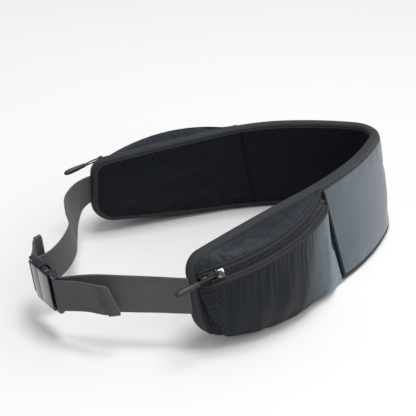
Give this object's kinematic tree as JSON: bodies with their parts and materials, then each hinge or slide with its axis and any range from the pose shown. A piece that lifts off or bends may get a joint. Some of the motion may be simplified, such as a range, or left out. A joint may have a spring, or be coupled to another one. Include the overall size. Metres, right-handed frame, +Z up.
{
  "type": "padded hip belt",
  "caption": "Padded waist belt with a zipped pocket on each wing, a lined foam band bound at its edges, and a webbing strap closed by a side-release buckle.",
  "frame": {"origin": "bottom centre of the bounding box, on the surface that the belt stands on", "axes": "+Y from the buckle at the front to the middle of the padded back, +Z up, +X to the side of the wearer's left wing"},
  "size_m": [0.2956, 0.4358, 0.119],
  "materials": {
    "outer_fabric": "satin woven nylon",
    "pocket_fabric": "satin ripstop nylon",
    "spacer_mesh": "matt knitted mesh",
    "foam": "matt closed-cell foam",
    "binding": "matt ribbed tape",
    "webbing": "matt woven webbing",
    "zip_tape": "matt knitted tape",
    "zip_plastic": "semi-gloss",
    "slider_metal": "gloss black",
    "cord": "matt braided",
    "grip_rubber": "satin",
    "buckle_plastic": "gloss"
  },
  "bodies": {
    "band": {"centre_shell": "outer_fabric", "centre_foam": "foam", "centre_mesh": "spacer_mesh", "centre_binding_top": "binding", "centre_binding_bottom": "binding", "wing_shell_left": "outer_fabric", "wing_shell_right": "outer_fabric", "wing_foam_left": "foam", "wing_foam_right": "foam", "wing_mesh_left": "spacer_mesh", "wing_mesh_right": "spacer_mesh", "wing_binding_left": "binding", "wing_binding_right": "binding", "seam_piping_left": "binding", "seam_piping_right": "binding", "pocket_front_left": "pocket_fabric", "pocket_front_right": "pocket_fabric", "pocket_top_left": "pocket_fabric", "pocket_top_right": "pocket_fabric", "zip_tape_upper_left": "zip_tape", "zip_tape_upper_right": "zip_tape", "zip_tape_lower_left": "zip_tape", "zip_tape_lower_right": "zip_tape", "zip_coil_upper_left": "zip_plastic", "zip_coil_upper_right": "zip_plastic", "zip_coil_lower_left": "zip_plastic", "zip_coil_lower_right": "zip_plastic", "zip_stops_left": "zip_plastic", "zip_stops_right": "zip_plastic", "strap_anchor_left": "webbing", "strap_anchor_right": "webbing", "webbing_left": "webbing", "webbing_right": "webbing", "buckle_socket": "buckle_plastic"},
    "slider_left": {"zip_slider_left": "slider_metal"},
    "slider_right": {"zip_slider_right": "slider_metal"},
    "pull_left": {"pull_cord_left": "cord", "pull_grip_left": "grip_rubber"},
    "pull_right": {"pull_cord_right": "cord", "pull_grip_right": "grip_rubber"},
    "tail_left": {"webbing_tail_left": "webbing"},
    "tail_right": {"webbing_tail_right": "webbing"},
    "plug": {"buckle_plug": "buckle_plastic"},
    "latch_upper": {"latch_arm_upper": "buckle_plastic"},
    "latch_lower": {"latch_arm_lower": "buckle_plastic"}
  },
  "joints": [
    {"name": "zip_left", "type": "hinge", "parent": "band", "child": "slider_left", "pos_m": [-0.00491, -0.03247, 0.06966], "axis": [-0.1736, -0.1965, 0.965], "range_deg": [0, 56.7]},
    {"name": "zip_right", "type": "hinge", "parent": "band", "child": "slider_right", "pos_m": [0.00491, -0.03247, 0.06966], "axis": [-0.1736, 0.1965, -0.965], "range_deg": [0, 56.7]},
    {"name": "pull_flip_left", "type": "hinge", "parent": "slider_left", "child": "pull_left", "pos_m": [0.13206, -0.07937, 0.08852], "axis": [-0.8168, 0.1037, 0.5675], "range_deg": [0, 130]},
    {"name": "pull_flip_right", "type": "hinge", "parent": "slider_right", "child": "pull_right", "pos_m": [-0.13206, -0.07937, 0.08852], "axis": [-0.8168, -0.1037, -0.5675], "range_deg": [0, 130]},
    {"name": "tail_flip_left", "type": "hinge", "parent": "band", "child": "tail_left", "pos_m": [0.04639, -0.20441, 0.056], "axis": [-0.0182, 0.1029, -0.9945], "range_deg": [0, 60]},
    {"name": "tail_flip_right", "type": "hinge", "parent": "plug", "child": "tail_right", "pos_m": [0.00561, -0.2116, 0.056], "axis": [0.0182, -0.1029, 0.9945], "range_deg": [0, 60]},
    {"name": "buckle_release", "type": "slide", "parent": "band", "child": "plug", "axis": [-0.9848, -0.1736, 0], "range_m": [0, 0.045], "deforming": ["webbing_right", "latch_arm_upper", "latch_arm_lower"]},
    {"name": "latch_squeeze_upper", "type": "hinge", "parent": "plug", "child": "latch_upper", "pos_m": [0.01633, -0.21077, 0.06595], "axis": [-0.1727, 0.9794, 0.1045], "range_deg": [0, 14], "stiffness_Nm_per_rad": 0.02},
    {"name": "latch_squeeze_lower", "type": "hinge", "parent": "plug", "child": "latch_lower", "pos_m": [0.01597, -0.20871, 0.04605], "axis": [0.1727, -0.9794, -0.1045], "range_deg": [0, 14], "stiffness_Nm_per_rad": 0.02}
  ]
}
